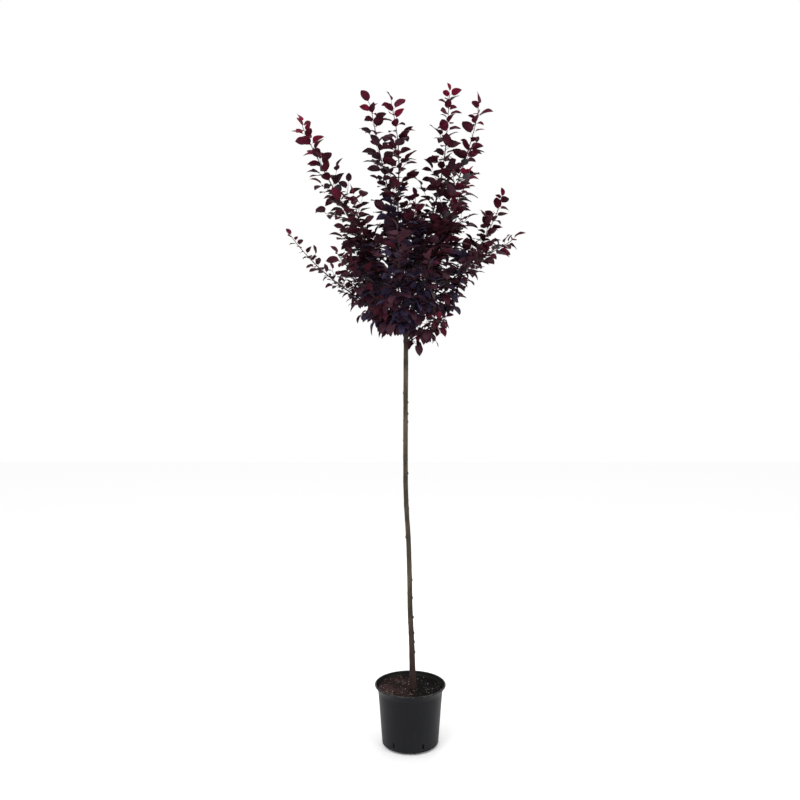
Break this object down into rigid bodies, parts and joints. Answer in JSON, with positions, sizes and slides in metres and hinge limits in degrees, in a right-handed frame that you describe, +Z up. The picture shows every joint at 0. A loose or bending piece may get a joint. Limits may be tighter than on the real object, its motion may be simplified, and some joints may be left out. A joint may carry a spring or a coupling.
{
  "type": "potted standard cherry plum tree",
  "caption": "Cherry plum grown as a standard: round nursery pot filled with compost, slim clear stem and an open vase-shaped head of dark purple leafy shoots.",
  "frame": {"origin": "centre of the pot's flat underside, at the level of what it stands on", "axes": "+Z up the stem, +X to the right and +Y to the back as the reference view sees it"},
  "size_m": [1.0052, 0.9165, 2.8701],
  "materials": {
    "pot": "satin black moulded plastic",
    "soil": "moist dark compost with bark and grit",
    "trunk": "grey-brown bark, mottled",
    "bough": "dark reddish-brown young bark",
    "foliage": "dark purple leaves, crimson at the tips"
  },
  "bodies": {
    "root": {"bough_back": "bough", "bough_back_left_high": "bough", "bough_back_left_low": "bough", "bough_back_right_high": "bough", "bough_back_right_low": "bough", "bough_front_high": "bough", "bough_front_left": "bough", "bough_front_low": "bough", "bough_front_right": "bough", "bough_front_right_low": "bough", "bough_left_high": "bough", "bough_left_low": "bough", "bough_left_mid": "bough", "bough_right_high": "bough", "bough_right_low": "bough", "bough_right_mid": "bough", "foliage_back": "foliage", "foliage_back_left_high": "foliage", "foliage_back_left_low": "foliage", "foliage_back_right_high": "foliage", "foliage_back_right_low": "foliage", "foliage_front_high": "foliage", "foliage_front_left": "foliage", "foliage_front_low": "foliage", "foliage_front_right": "foliage", "foliage_front_right_low": "foliage", "foliage_heart": "foliage", "foliage_left_high": "foliage", "foliage_left_low": "foliage", "foliage_left_mid": "foliage", "foliage_right_high": "foliage", "foliage_right_low": "foliage", "foliage_right_mid": "foliage", "foliage_skirt_1": "foliage", "foliage_skirt_2": "foliage", "foliage_skirt_3": "foliage", "foliage_skirt_4": "foliage", "foliage_skirt_5": "foliage", "pot": "pot", "soil": "soil", "trunk": "trunk"}
  },
  "joints": []
}
